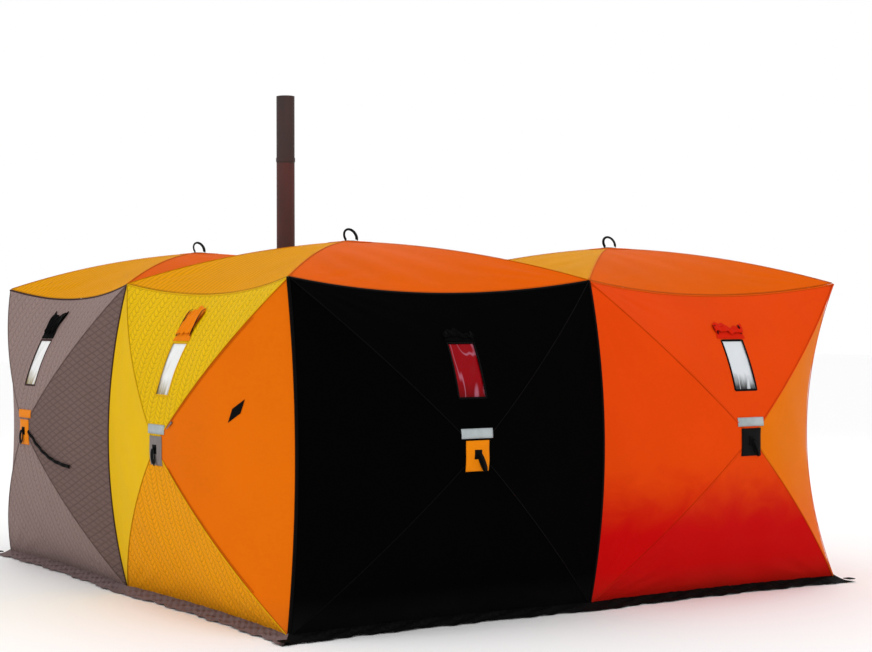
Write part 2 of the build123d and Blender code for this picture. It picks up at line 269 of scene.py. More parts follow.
def film(name, pale, dark, rough, lines=None, gloss=0.4):
    """Window film: creased, glossy, darker towards the foot with painted shade of the unlit room seen through
    it.
    """
    m, nt, bsdf = new_material(name)
    uv, u, v = cloth_axes(nt)
    cloud = noise(nt, uv, 7.0, 3.0, twist=1.2)
    # long soft creases running across the film
    along = node(nt, "ShaderNodeMapping", Scale=(1.0, 0.22, 1.0), Rotation=(0.0, 0.0, 0.16))
    nt.links.new(uv, along.inputs[0])
    fold = noise(nt, along.outputs[0], 9.0, 1.0, 0.3, 0.9)
    fold = math_node(nt, "ABSOLUTE", sub(nt, fold, 0.5))
    # painted shade: the lower film takes the dark colour of the unlit room behind it
    col = mix(nt, ramp(nt, add(nt, v, mul(nt, cloud, 0.16)), 1.33, 1.45), dark, pale)
    col = mix(nt, ramp(nt, fold, 0.0, 0.022, 0.8, 0.0), col, lines or pale)
    surface(nt, bsdf, col, add(nt, mul(nt, cloud, 0.15), rough), add(nt, fold, cloud), 0.5, 0.006, gloss)
    return m


YELLOW, AMBER = (0.80, 0.49, 0.0002), (0.88, 0.345, 0.0002)
BLACK, GREY = (0.0008, 0.0008, 0.0008), (0.285, 0.200, 0.185)
M = {
    "yellow_q": cloth("yellow_quilted", YELLOW, quilt="chevron", pitch=0.06),
    "yellow_s": cloth("yellow_smooth", (0.76, 0.46, 0.0002), crease=0.7),
    "amber_q": cloth("amber_quilted", AMBER, quilt="chevron", pitch=0.06),
    "orange_s": cloth("orange_smooth", (0.74, 0.145, 0.0002), crease=0.8),
    # the low colours of these two are painted shade, darker and redder towards the foot
    "orange_w": cloth("orange_wall", (0.74, 0.056, 0.0002), low=(0.52, 0.0004, 0.0006), crease=0.8),
    "orange_l": cloth("orange_light", (0.76, 0.17, 0.0002), low=(0.72, 0.12, 0.0002), crease=0.7),
    "orange_r": cloth("orange_roof", (0.72, 0.105, 0.0002), gloss=0.02, crease=0.8),
    "yellow_r": cloth("yellow_roof", (0.76, 0.31, 0.0002), quilt="lines", pitch=0.05, gloss=0.02),
    "black": cloth("black_cloth", BLACK, rough=0.85, gloss=0.012),
    "black_q": cloth("black_quilted", (0.0014, 0.0013, 0.0013), quilt="lines", pitch=0.05, rough=0.8,
                     gloss=0.03),
    "grey_q": cloth("grey_quilted", GREY, quilt="chevron", pitch=0.07),
    "grey_d": cloth("grey_diamond", (0.165, 0.108, 0.098), quilt="diamond", pitch=0.042),
    "skirt_b": cloth("skirt_black", (0.0025, 0.0023, 0.0023), rough=0.7, gloss=0.08, crease=1.0),
    "skirt_g": cloth("skirt_grey", (0.18, 0.125, 0.125), rough=0.6, crease=1.0),
    "flap_o": cloth("flap_orange", (0.80, 0.20, 0.0003), crease=1.2),
    "flap_r": cloth("flap_red", (0.62, 0.012, 0.0003), crease=1.2),
    "flap_b": cloth("flap_black", (0.0012, 0.0011, 0.0011), rough=0.8, gloss=0.03, crease=1.2),
    "patch_a": cloth("patch_amber", (0.80, 0.225, 0.0006), crease=0.3, rough=0.5),
    "patch_b": cloth("patch_black", (0.0025, 0.0025, 0.0025), crease=0.3, gloss=0.08),
    "patch_g": cloth("patch_grey", (0.24, 0.21, 0.20), quilt="lines", pitch=0.018, crease=0.3),
    "jack": cloth("jack_cloth", (0.20, 0.195, 0.19), quilt="diamond", pitch=0.02, crease=0.3, rough=0.5),
    "reflect": plain("reflective_strip", (0.36, 0.40, 0.41), rough=0.4, grain=260.0, metal=0.25,
                     depth=0.0004),
    "web": webbing("black_webbing", (0.0022, 0.0022, 0.0022)),
    "bind": webbing("dark_binding", (0.0012, 0.0010, 0.0010)),
    "bind_g": webbing("brown_binding", (0.040, 0.018, 0.016)),
    "welt_b": webbing("black_piping", (0.0006, 0.0006, 0.0006)),
    "welt_g": webbing("grey_piping", (0.13, 0.088, 0.080)),
    "welt_y": webbing("yellow_binding", (0.66, 0.34, 0.0003)),
    "welt_o": webbing("orange_binding", (0.66, 0.17, 0.0003)),
    "welt_r": webbing("red_binding", (0.64, 0.075, 0.0003)),
    "tape": webbing("zip_tape", (0.48, 0.085, 0.0005)),
    "rod": plain("fibreglass_rod", (0.55, 0.53, 0.46), rough=0.4, grain=120.0, coat=0.2),
    "hub": plain("hub_nylon", (0.012, 0.012, 0.013), rough=0.45, grain=90.0, depth=0.0004),
    "pipe": plain("stained_steel", (0.040, 0.010, 0.008), rough=0.62, metal=0.35, grain=24.0, depth=0.0012,
                  stretch=(1, 1, 0.35), second=(0.085, 0.014, 0.010)),
    "pipe_t": plain("scorched_steel", (0.020, 0.012, 0.011), rough=0.66, metal=0.35, grain=24.0, depth=0.0012,
                    stretch=(1, 1, 0.35), second=(0.050, 0.020, 0.016)),
    "zinc": plain("cast_zinc", (0.20, 0.20, 0.21), rough=0.35, metal=0.9, grain=200.0, depth=0.0002),
    # the dark colour of each film is painted shade of the unlit room seen through it
    "film_w": film("film_clear", (0.62, 0.65, 0.68), (0.012, 0.013, 0.014), 0.10),
    "film_y": film("film_clear_bright", (0.74, 0.75, 0.74), (0.30, 0.24, 0.12), 0.14),
    "film_r": film("film_red", (0.23, 0.0006, 0.0035), (0.15, 0.0005, 0.002), 0.2,
                   lines=(0.36, 0.11, 0.16), gloss=0.06),
}


# ---------------------------------------------------------------- the eleven hub panels
class Side:
    """A wall or a roof: four triangles from a hub to the panel's corners, in the panel's own axes."""
    def __init__(self, tag, wall, origin, x, y, n, corners, mids, hub, bow):
        self.tag, self.wall, self.bow = tag, wall, bow
        self.full = tag if wall else "roof_" + tag
        self.hub_body = "hub_" + self.full
        self.cloth = "wall_" + tag if wall else "roof_" + tag
        self.o, self.x, self.y, self.n = (np.array(v, float) for v in (origin, x, y, n))
        self.c, self.m, self.h = (np.array(v, float) for v in (corners, mids, hub))
        self.seed = sum(ord(ch) * (k + 3) for k, ch in enumerate(tag)) % 97 * 0.37

    def world(self, p):
        p = np.asarray(p, float)
        return self.o + p[..., 0:1] * self.x + p[..., 1:2] * self.y + p[..., 2:3] * self.n

    def pt(self, a, b, d=0.0):
        return Vector(self.world(np.array([a, b, d])))

    def ridge(self, i, u):
        """Seam from the hub to corner i."""
        u = np.asarray(u, float)[..., None]
        r = self.h + (self.c[i] - self.h) * u
        r[..., 2] += (self.bow * 4 * u * (1 - u))[..., 0]
        return r

    def surf(self, i, u, v):
        """Point of triangle i: u from hub to edge, v from corner i to corner i+1."""
        j = (i + 1) % 4
        s = self.m[i] - (self.c[i] + self.c[j]) / 2
        vv = np.asarray(v, float)[..., None]
        uu = np.asarray(u, float)[..., None]
        return (1 - vv) * self.ridge(i, u) + vv * self.ridge(j, u) + s * uu ** 2.2 * 4 * vv * (1 - vv)

    def edge_line(self, i, steps=48):
        return self.world(self.surf(i, np.ones(steps), np.linspace(0, 1, steps)))

    def on(self, a, b, lift=0.0):
        """World point of the cloth at (a, b), lifted off it along the panel's normal."""
        n = Vector(self.n)
        hit = self.tree.ray_cast(self.pt(a, b, 1.0), -n)[0]
        return self.pt(a, b, lift) if hit is None else hit + n * lift


def wall_side(tag, origin, x, n, left, right):
    def seam(kind, sign):
        base = 0.0 if sign > 0 else W
        if kind == "pinch":
            return base, base + sign * PINCH, -PINCH
        if kind == "line":
            return base, base, SEAM_BOW
        return base, base + sign * INNER_BOW, INNER_BOW
    l0, l1, ld = seam(left, 1)
    r0, r1, rd = seam(right, -1)
    corners = [(l0, BASE, 0), (r0, BASE, 0), (r0, EAVE - 0.004, 0), (l0, EAVE - 0.004, 0)]
    mids = [(H, BASE, -0.045), (r1, MID_Z, rd), (H, EAVE - 0.084, -0.06), (l1, MID_Z, ld)]
    return Side(tag, True, (*origin, 0), x, (0, 0, 1), n, corners, mids, (H, HUB_Z, BULGE), BOW)


def roof_side(tag, x0, y0, valleys):
    inset = [0.0 if v else 0.06 for v in valleys]
    corners = [(0, 0, 0), (W, 0, 0), (W, W, 0), (0, W, 0)]
    mids = [(H, inset[0], -0.08), (W - inset[1], H, -0.08), (H, W - inset[2], -0.08), (inset[3], H, -0.08)]
    return Side(tag, False, (x0, y0, EAVE), (1, 0, 0), (0, 1, 0), (0, 0, 1), corners, mids, (H, H, ROOF_RISE),
                ROOF_BOW)


WALLS = [
    wall_side("black", (-W, -W), (1, 0, 0), (0, -1, 0), "pinch", "line"),
    wall_side("orange", (0, -W), (1, 0, 0), (0, -1, 0), "line", "pinch"),
    wall_side("right_end", (W, -W), (0, 1, 0), (1, 0, 0), "pinch", "pinch"),
    wall_side("right_back", (W, 0), (-1, 0, 0), (0, 1, 0), "pinch", "inner"),
    wall_side("left_inner", (0, 0), (0, 1, 0), (1, 0, 0), "inner", "pinch"),
    wall_side("left_end", (0, W), (-1, 0, 0), (0, 1, 0), "pinch", "pinch"),
    wall_side("grey", (-W, W), (0, -1, 0), (-1, 0, 0), "pinch", "line"),
    wall_side("yellow", (-W, 0), (0, -1, 0), (-1, 0, 0), "line", "pinch"),
]
ROOFS = [
    roof_side("mid", -W, -W, (False, True, True, False)),
    roof_side("right", 0, -W, (False, False, False, True)),
    roof_side("left", -W, 0, (True, False, False, False)),
]
SIDES = WALLS + ROOFS
BY = {s.tag: s for s in SIDES}
DOOR_WALL, JACK_ROOF = BY["yellow"], BY["mid"]
# looks of the triangles: bottom, right, top, left (roofs: front, right, back, left)
LOOK = {
    "black": ("black", "black", "black", "black"),
    "orange": ("orange_w", "orange_l", "orange_w", "orange_w"),
    "right_end": ("orange_w", "orange_l", "orange_w", "orange_l"),
    "right_back": ("black_q", "black", "black_q", "black"),
    "left_inner": ("amber_q", "yellow_s", "yellow_q", "orange_s"),
    "left_end": ("grey_q", "grey_d", "grey_q", "grey_q"),
    "grey": ("grey_q", "grey_d", "grey_q", "grey_q"),
    "yellow": ("amber_q", "orange_s", "yellow_q", "yellow_s"),
}
LOOK.update({side.tag: ("orange_r", "orange_r", "yellow_r", "yellow_r") for side in ROOFS})
PITCH = {"yellow_q": 0.08, "amber_q": 0.08, "grey_q": 0.07, "yellow_r": 0.10, "black_q": 0.10}
# trim of each wall: piping on its seams (None: the cloth itself), binding of its edges, binding of its
# window, film, cover and hub patch
TRIM = {
    "black": ("welt_b", "bind", "bind", "film_r", "flap_b", "patch_a"),
    "orange": (None, "welt_r", "bind", "film_w", "flap_r", "patch_b"),
    "right_end": (None, "welt_r", "bind", "film_w", "flap_r", "patch_b"),
    "right_back": ("welt_b", "bind", "bind", "film_w", "flap_b", "patch_a"),
    "left_inner": ("welt_y", "welt_y", "welt_y", "film_w", "flap_o", "patch_g"),
    "left_end": ("welt_g", "bind_g", "bind_g", "film_w", "flap_b", "patch_a"),
    "grey": ("welt_g", "bind_g", "bind_g", "film_y", "flap_b", "patch_a"),
    "yellow": ("welt_y", "welt_y", "welt_y", "film_y", "flap_o", "patch_g"),
}
for side in WALLS:
    side.piping, side.binding, side.rim, side.film, side.flap, side.patch = TRIM[side.tag]
for side in ROOFS:
    side.piping = "welt_o"


# ---------------------------------------------------------------- mesh helpers
def grid_mesh(name, pts, uvs, material, edge=None, flip=False):
    """Mesh from an (n, m, 3) grid of world points."""
    n, m = pts.shape[:2]
    idx = np.arange(n * m).reshape(n, m)
    quads = np.stack([idx[:-1, :-1], idx[1:, :-1], idx[1:, 1:], idx[:-1, 1:]], -1).reshape(-1, 4)
    if flip:
        quads = quads[:, ::-1]
    me = bpy.data.meshes.new(name)
    me.from_pydata(pts.reshape(-1, 3).tolist(), [], quads.tolist())
    layer = me.uv_layers.new(name="cloth")
    loops = np.empty(len(me.loops), np.int32)
    me.loops.foreach_get("vertex_index", loops)
    layer.data.foreach_set("uv", uvs.reshape(-1, 2)[loops].astype(np.float32).ravel())
    if edge is None:
        edge = np.ones(n * m)
    at = me.attributes.new("edge", "FLOAT", "POINT")
    at.data.foreach_set("value", edge.astype(np.float32).ravel())
    return mesh_object(name, me, material)


def lay(name, nu, nv, place, material):
    """Sheet of nu by nv points; place(s, t) gives a point and its UV, with s and t from 0 to 1."""
    pts, uvs = np.zeros((nu, nv, 3)), np.zeros((nu, nv, 2))
    for i in range(nu):
        for j in range(nv):
            pts[i, j], uvs[i, j] = place(i / (nu - 1), j / (nv - 1))
    return grid_mesh(name, pts, uvs, material)


def mesh_object(name, me, material, smooth=True):
    if smooth:
        me.polygons.foreach_set("use_smooth", [True] * len(me.polygons))
    me.materials.append(material)
    ob = bpy.data.objects.new(name, me)
    bpy.context.scene.collection.objects.link(ob)
    return ob


def merge_near(ob, dist=1e-5):
    bm = bmesh.new()
    bm.from_mesh(ob.data)
    bmesh.ops.remove_doubles(bm, verts=bm.verts, dist=dist)
    bmesh.ops.dissolve_degenerate(bm, dist=1e-6, edges=bm.edges)
    bm.to_mesh(ob.data)
    bm.free()


def apply_modifiers(ob):
    bpy.context.view_layer.objects.active = ob
    dg = bpy.context.evaluated_depsgraph_get()
    me = bpy.data.meshes.new_from_object(ob.evaluated_get(dg))
    ob.modifiers.clear()
    ob.data = me


def thicken(ob, t, offset=-1.0):
    mod = ob.modifiers.new("thick", "SOLIDIFY")
    mod.thickness, mod.offset = t, offset
    apply_modifiers(ob)


def area_of(ob):
    return sum(p.area for p in ob.data.polygons)


def declare(ob, width, length):
    """Works out a length for a sheet of this width, held between 1.02 and 3 times its own area over the
    width; nothing is kept.
    """
    size = area_of(ob)
    length = min(max(length, size / width * 1.02), size / width * 3.0)


def cut_out(ob, side, planes, inside):
    """Cuts the mesh along planes given as (a, b, normal in panel axes), then drops faces inside."""
    bm = bmesh.new()
    bm.from_mesh(ob.data)
    for a, b, na, nb in planes:
        bmesh.ops.bisect_plane(bm, geom=bm.verts[:] + bm.edges[:] + bm.faces[:], dist=1e-6,
                               plane_co=side.pt(a, b), plane_no=Vector(side.x * na + side.y * nb))
    o, x, y = Vector(side.o), Vector(side.x), Vector(side.y)
    dead = []
    for f in bm.faces:
        c = f.calc_center_median() - o
        if inside(c.dot(x), c.dot(y)):
            dead.append(f)
    bmesh.ops.delete(bm, geom=dead, context="FACES")
    bm.to_mesh(ob.data)
    bm.free()


def pillow(name, side, a0, b0, a1, b1, lift, material, body, wave=0.0006):
    """Sewn-on patch from (a0, b0) to (a1, b1) that follows the cloth and swells in its middle."""
    step, swell = 0.012, 0.0015

    def place(s, t):
        a, b = a0 + (a1 - a0) * s, b0 + (b1 - b0) * t
        puff = swell * (4 * s * (1 - s)) ** 0.4 * (4 * t * (1 - t)) ** 0.4
        return side.on(a, b, lift + puff + wave * math.sin(90 * a + 60 * b)), (a, b)
    ob = lay(name, max(3, int((a1 - a0) / step)), max(3, int((b1 - b0) / step)), place, material)
    thicken(ob, 0.002, -1.0)
    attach(ob, body)
    return ob


def strip(name, line, normals, width, material, thick=0.0016, crown=0.0):
    """Flat band along a polyline of points with a normal at each, or one normal for all."""
    line = np.asarray(line, float)
    n = len(line)
    normals = np.asarray(normals, float)
    if normals.ndim == 1:
        normals = np.tile(normals, (n, 1))
    t = np.gradient(line, axis=0)
    t /= np.linalg.norm(t, axis=1)[:, None] + 1e-9
    across = np.cross(t, normals)
    across /= np.linalg.norm(across, axis=1)[:, None] + 1e-9
    cols = np.array([-1, -0.55, 0.0, 0.55, 1.0])
    pts = np.stack([line + across * (c * width / 2) + normals * (crown * (1 - c * c)) for c in cols], 1)
    run = np.concatenate([[0], np.cumsum(np.linalg.norm(np.diff(line, axis=0), axis=1))])
    uvs = np.stack([np.stack([run, np.full(n, c * width / 2)], -1) for c in cols], 1)
    ob = grid_mesh(name, pts, uvs, material, flip=True)
    thicken(ob, thick, 0.0)
    return ob


def panel_uv(ob, side):
    """Puts the panel's own axes into the UVs, so that a strip shades like the cloth it lies on."""
    layer = ob.data.uv_layers[0].data
    o, x, y = Vector(side.o), Vector(side.x), Vector(side.y)
    for loop in ob.data.loops:
        p = ob.data.vertices[loop.vertex_index].co - o
        layer[loop.index].uv = (p.dot(x), p.dot(y))


def hub_blend(ob, side, outer):
    """Cloth or rod over a hub: bakes its transform; outer is its outer end in panel axes."""
    a, b = outer[0], outer[1]
    ha, hb = side.h[0], side.h[1]
    if side.wall:
        flat = FLAT_DOOR_WALL if side is DOOR_WALL else FLAT_WALL
    else:
        flat = FLAT_JACK_ROOF if side is JACK_ROOF else FLAT_ROOF
    start = side.pt(a + (ha - a) * flat, b + (hb - b) * flat)
    tuple(side.pt(ha, hb))
    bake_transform(ob)


def window_blend(ob, side):
    hub_blend(ob, side, (side.c[2] + side.c[3]) / 2)


def door_blend(ob, side):
    """Door cloth: bakes its transform; a point on the hinge line and one a little way in from it are worked
    out but not used.
    """
    start, end = side.pt(HINGE, MID_Z), side.pt(HINGE - 0.2, MID_Z)
    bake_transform(ob)


# ---------------------------------------------------------------- cloth of the panels
def relief(side, i, p, u, v, look):
    """Folds, tension creases and quilting of the cloth, as a height along the panel's normal."""
    a, b = p[..., 0], p[..., 1]
    seed = side.seed + i * 1.7
    fade = np.clip(np.minimum(v, 1 - v) * 9, 0, 1) * np.clip((1 - u) * 9, 0, 1) * np.clip(u * 5, 0, 1)
    w = 0.0042 * np.sin(5.3 * a + 3.1 * b + seed) * np.sin(4.1 * b - 2.3 * a + 2 * seed)
    w = w + 0.0026 * np.sin(17 * a + 9 * b + 3 * seed + 1.5 * np.sin(4 * b + seed))
    # folds that fan out of the two outer corners
    for vv, k in ((v, 1.0), (1 - v, -1.0)):
        reach = np.clip(1 - np.hypot((1 - u) * 1.3, vv) / 0.62, 0, 1) ** 1.6
        ang = np.arctan2(vv, (1 - u) * 1.2 + 0.03)
        w = w + 0.0065 * reach * np.sin(ang * 15 + seed * k)
    w = w * fade
    if look in PITCH:
        ph = np.abs(np.sin(math.pi * a / PITCH[look] * 2))
        w = w + 0.0016 * (np.power(ph, 0.6) - 0.6) * np.clip(np.minimum(v, 1 - v) * 20, 0, 1)
    return w


def triangle(side, i):
    look = LOOK[side.tag][i]
    if look not in PITCH:
        nu, nv = 44, 72
    elif i in (0, 2) or not side.wall:
        nu, nv = 46, 200
    else:
        nu, nv = 90, 60
    u = np.linspace(0.0, 1.0, nu)[:, None] * np.ones((1, nv))
    v = np.ones((nu, 1)) * np.linspace(0.0, 1.0, nv)[None, :]
    p = side.surf(i, u, v)
    p[..., 2] += relief(side, i, p, u, v, look)
    uvs = p[..., :2].copy()
    if not side.wall:
        uvs = uvs + np.array([0.0, 3.0])
        if i in (1, 3):
            uvs = uvs[..., ::-1] + np.array([-3.0, 3.0])
    width = np.linalg.norm(side.c[i] - side.c[(i + 1) % 4])
    edge = np.minimum(np.minimum(v, 1 - v) * u * width, (1 - u) * 0.95)
    name = side.cloth + "_" + ("bottom", "right", "top", "left")[i]
    ob = grid_mesh(name, side.world(p), uvs, M[look], edge)
    merge_near(ob)
    return ob


def search_tree(objects):
    points, faces = [], []
    for ob in objects:
        base = len(points)
        points += [x.co.copy() for x in ob.data.vertices]
        faces += [[base + k for k in poly.vertices] for poly in ob.data.polygons]
    return BVHTree.FromPolygons(points, faces)


def open_window(side):
    frame_lines = [(WIN_L, 0, 1, 0), (WIN_R, 0, 1, 0), (0, WIN_LOW, 0, 1), (0, WIN_HIGH, 0, 1)]
    cut_out(side.panels[2], side, frame_lines, lambda a, b: WIN_L < a < WIN_R and WIN_LOW < b < WIN_HIGH)


def open_jack(side):
    ca, cb, r = PIPE[0] + W, PIPE[1] + W, JACK_R - 0.001
    planes = []
    for k in range(8):
        t = math.pi / 4 * k
        planes.append((ca + r * math.cos(t), cb + r * math.sin(t), math.cos(t), math.sin(t)))
    cut_out(side.panels[2], side, planes,
            lambda a, b: all((a - pa) * na + (b - pb) * nb < 0 for pa, pb, na, nb in planes))


def part_door(side):
    """Divides the wall's right-hand triangle at the hinge line into a border and the door leaf."""
    border = side.panels[1]
    leaf = border.copy()
    leaf.data = border.data.copy()
    leaf.name = "door_leaf_cloth"
    bpy.context.scene.collection.objects.link(leaf)
    cut_out(border, side, [(HINGE, 0, 1, 0)], lambda a, b: a < HINGE)
    cut_out(leaf, side, [(HINGE, 0, 1, 0)], lambda a, b: a > HINGE)
    border.name = "wall_yellow_right_border"
    return leaf


for side in SIDES:
    side.panels = [triangle(side, i) for i in range(4)]
    side.tree = search_tree(side.panels)
for side in WALLS:
    open_window(side)
open_jack(JACK_ROOF)
leaf = part_door(DOOR_WALL)

for side in SIDES:
    for i, ob in enumerate(side.panels):
        j = (i + 1) % 4
        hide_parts(side.cloth)
        if side is DOOR_WALL and i == 1:
            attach(ob, "shell")
            declare(ob, 1.9, 0.19)
        else:
            base = float(np.linalg.norm(side.c[i] - side.c[j]))
            hub_blend(ob, side, (side.c[i] + side.c[j]) / 2)
            declare(ob, base, area_of(ob) * 2 / base)
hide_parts("door_leaf")
door_blend(leaf, DOOR_WALL)
declare(leaf, 1.55, area_of(leaf) * 2 / 1.55)


# ---------------------------------------------------------------- seams
def unit(v):
    return v / np.linalg.norm(v)


def hub_seam(side, i):
    r = side.ridge(i, np.linspace(0.085, 0.995, 44))
    r[:, 2] += 0.0012
    dark = side.piping in ("welt_b", "welt_g")
    w = strip("seam_%s_%d" % (side.full, i), side.world(r), side.n, 0.005 if dark else 0.007,
              M[side.piping or LOOK[side.tag][i]], crown=0.0004 if dark else 0.0012)
    if side.piping is None:
        panel_uv(w, side)
    hub_blend(w, side, side.c[i])


def fixed_seam(name, line, normal, width, material, crown):
    w = strip(name, line, normal, width, M[material], crown=crown)
    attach(w, "shell")


def corner_seam(side, i, width):
    normal = side.n
    if side.m[i][2] < 0:      # an outer corner: the seam faces half way to the next wall
        normal = unit(side.n + (side.x if i == 1 else -side.x))
    line = side.edge_line(i) + normal * 0.0035
    fixed_seam("corner_seam_%s_%d" % (side.tag, i), line, normal, width, side.binding, 0.003)


def eave_seam(side):
    normal = unit(side.n + np.array([0, 0, 0.6]))
    line = side.edge_line(2) + normal * 0.003 + np.array([0, 0, -0.004])
    width = 0.014 if side.tag == "black" else 0.010
    fixed_seam("eave_seam_" + side.tag, line, normal, width, side.binding, 0.002)


def valley_seam(side, i):
    line = side.edge_line(i) + np.array([0, 0, 0.003])
    fixed_seam("valley_seam_%d" % i, line, (0, 0, 1), 0.02, "welt_o", 0.001)


for side in SIDES:
    for i in range(4):
        hub_seam(side, i)
for tag, i, width in (("black", 3, 0.02), ("black", 1, 0.016), ("orange", 1, 0.018), ("right_end", 1, 0.02),
                      ("right_back", 1, 0.02), ("left_inner", 1, 0.02), ("left_end", 1, 0.02),
                      ("grey", 1, 0.012)):
    corner_seam(BY[tag], i, width)
for side in WALLS:
    eave_seam(side)
valley_seam(JACK_ROOF, 1)
valley_seam(JACK_ROOF, 2)


# ---------------------------------------------------------------- rods
ROD_R, ROD_STEPS, ROD_SIDES = 0.0055, 40, 12


def corner_ball(p):
    """Middle of the corner joint or foot that holds the cloth's corner p."""
    x = -W + 0.05 if p[0] < -H else (W - 0.05 if p[0] > H else 0.0)
    y = -W + 0.05 if p[1] < -H else (W - 0.05 if p[1] > H else 0.0)
    if x == 0.0 and y == 0.0:
        x = y = -0.045
    elif x == 0.0 and y > 0:
        x = -0.05
    elif y == 0.0 and x > 0:
        y = -0.05
    return np.array([x, y, EAVE - 0.055 if p[2] > 0.5 else 0.052])


def rod(side, i):
    """Rod from the hub's socket to the corner, in a smooth bow through a point under the seam."""
    socket = side.world(side.h - np.array([0, 0, 0.068]))
    ball = corner_ball(side.world(side.c[i]))
    mid = side.world((side.h + side.c[i]) / 2 + np.array([0, 0, side.bow - 0.04]))
    a = socket + unit(mid - socket) * 0.052
    b = ball + unit(mid - ball) * 0.034
    t = np.linspace(0, 1, ROD_STEPS)[:, None]
    tm = np.linalg.norm(mid - a) / (np.linalg.norm(mid - a) + np.linalg.norm(b - mid))
    k = (mid - (1 - tm) * a - tm * b) / (tm * (1 - tm))
    line = (1 - t) * a + t * b + k * t * (1 - t)
    tan = np.gradient(line, axis=0)
    tan /= np.linalg.norm(tan, axis=1)[:, None]
    s1 = np.cross(tan, side.n)
    s1 /= np.linalg.norm(s1, axis=1)[:, None]
    s2 = np.cross(s1, tan)
    turns = np.linspace(0, 2 * math.pi, ROD_SIDES + 1)[:-1]
    ring = np.stack([line + ROD_R * (math.cos(q) * s1 + math.sin(q) * s2) for q in turns], 1)
    m, last = ROD_SIDES, ROD_STEPS - 1
    faces = []
    for r in range(last):
        for q in range(m):
            faces.append((r * m + q, r * m + (q + 1) % m, (r + 1) * m + (q + 1) % m, (r + 1) * m + q))
    faces.append(tuple(range(m - 1, -1, -1)))
    faces.append(tuple(last * m + q for q in range(m)))
    me = bpy.data.meshes.new("rod")
    me.from_pydata(ring.reshape(-1, 3).tolist(), [], faces)
    ob = mesh_object("rod_%s_%d" % (side.full, i), me, M["rod"])
    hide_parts("rods_" + side.tag if side.wall else "rods_roof")
    hub_blend(ob, side, side.c[i])


for side in SIDES:
    for i in range(4):
        rod(side, i)


# ---------------------------------------------------------------- windows and covers
def window_film(side):
    seed = side.seed

    def place(s, t):
        a, b = WIN_L - 0.004 + (WIN_W + 0.008) * s, WIN_LOW - 0.004 + (WIN_HIGH - WIN_LOW + 0.008) * t
        fade = min(1, min(s, 1 - s) * 6) * min(1, min(t, 1 - t) * 6)
        wrinkle = 0.0022 * math.sin(26 * a + 17 * b + seed) * math.sin(31 * b - 12 * a + seed)
        wrinkle += 0.0014 * math.sin(70 * a - 40 * b + 2 * seed)
        return side.on(a, b, -0.0045 + wrinkle * fade), (a, b)
    pane = lay("window_film_" + side.tag, 26, 40, place, M[side.film])
    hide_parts("window_panes")
    window_blend(pane, side)
    declare(pane, 0.184, 0.325)


def window_rim(side):
    """Bound edge of the opening."""
    corners = [(WIN_L, WIN_LOW), (WIN_R, WIN_LOW), (WIN_R, WIN_HIGH), (WIN_L, WIN_HIGH)]
    line = []
    for k in range(4):
        p, q = corners[k], corners[(k + 1) % 4]
        for t in np.linspace(0, 1, 16)[:-1]:
            line.append(side.on(p[0] + (q[0] - p[0]) * t, p[1] + (q[1] - p[1]) * t, 0.0016))
    line.append(line[0].copy())
    rim = strip("window_binding_" + side.tag, line, side.n, 0.012, M[side.rim], crown=0.001)
    window_blend(rim, side)


def fold_path(tall, low_fold):
    """Section of a folded cover, as (height above the window, distance off the cloth)."""
    path = []
    for t in np.linspace(0, 1, 10):
        path.append((0.004 + tall * t, 0.003 + 0.002 * t))
    for t in np.linspace(0.1, 1, 8):
        g = math.pi * t
        path.append((0.004 + tall + 0.008 * math.sin(g), 0.005 + 0.0045 * (1 - math.cos(g))))
    for t in np.linspace(0.08, 1, 10):
        path.append((0.004 + tall - (tall - low_fold) * t, 0.014 + 0.002 * math.sin(t * 7)))
    for t in np.linspace(0.15, 1, 7):
        g = math.pi * t
        path.append((0.004 + low_fold - 0.006 * math.sin(g), 0.0148 + 0.003 * (1 - math.cos(g))))
    for t in np.linspace(0.1, 1, 8):
        path.append((0.004 + low_fold + (tall - low_fold) * 0.8 * t, 0.0208 + 0.0015 * math.sin(t * 5)))
    return path


